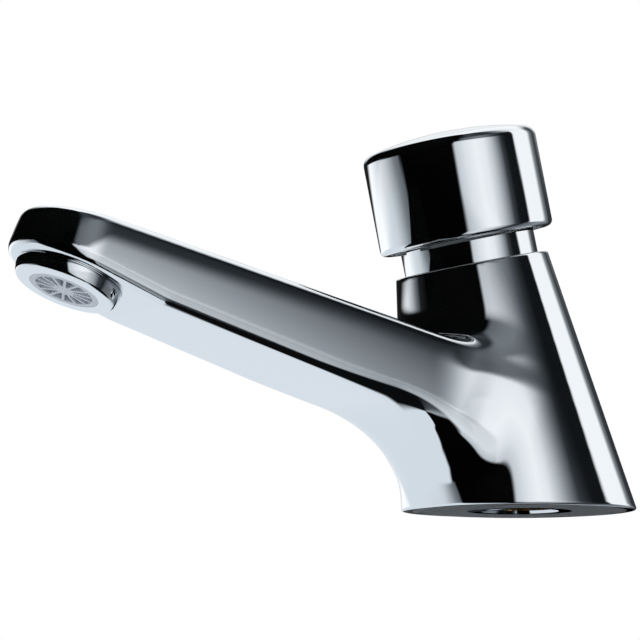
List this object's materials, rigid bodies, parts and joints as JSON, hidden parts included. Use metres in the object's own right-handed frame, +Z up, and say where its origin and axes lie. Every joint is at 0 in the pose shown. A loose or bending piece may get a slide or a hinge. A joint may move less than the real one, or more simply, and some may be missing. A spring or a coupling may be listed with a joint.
{
  "type": "push timed tap",
  "caption": "Deck-mounted self-closing basin tap: a leaning chromed column with a long flat-topped spout and a large push button on top.",
  "frame": {"origin": "centre of the round base on the deck plane, at the mouth of the inlet thread", "axes": "+Z up, square to the deck; the spout reaches along -Y; X = 0 is the plane of symmetry, and the column leans 12.9 degrees towards the spout"},
  "size_m": [0.066, 0.1926, 0.11],
  "materials": {
    "polished_chrome": "cast brass, polished and chrome plated to a mirror",
    "brass": "turned brass, fine tool marks",
    "stainless_steel": "turned or drawn stainless steel",
    "black_rubber": "moulded nitrile rubber, matt",
    "white_silicone": "moulded silicone rubber, satin",
    "pale_grey_acetal": "moulded acetal, satin",
    "white_acetal": "moulded acetal, satin"
  },
  "bodies": {
    "tap": {"body": "polished_chrome", "collar": "polished_chrome", "aerator_ring": "polished_chrome", "aerator_insert": "pale_grey_acetal", "aerator_core": "pale_grey_acetal", "aerator_seal": "black_rubber", "cartridge_sleeve": "brass", "sleeve_seal_upper": "black_rubber", "sleeve_seal_lower": "black_rubber", "valve_seat": "stainless_steel", "stem_guide": "white_acetal", "stem_seal": "black_rubber", "guide_circlip": "stainless_steel", "spring_seat": "stainless_steel", "return_spring": "stainless_steel", "collar_seal": "black_rubber", "inlet_strainer": "stainless_steel", "base_seal": "white_silicone"},
    "button": {"push_button": "polished_chrome", "button_bush": "white_acetal", "button_locknut": "brass", "stem": "stainless_steel", "timing_piston": "brass", "piston_seal": "black_rubber", "piston_clip": "stainless_steel", "valve_disc": "brass", "valve_washer": "black_rubber", "valve_nut": "brass"}
  },
  "joints": [
    {"name": "button_press", "type": "slide", "parent": "tap", "child": "button", "axis": [0, 0.2233, -0.9748], "range_m": [0, 0.0055], "stiffness_N_per_m": 1500, "springref_m": -0.01, "deforming": ["return_spring"]}
  ]
}
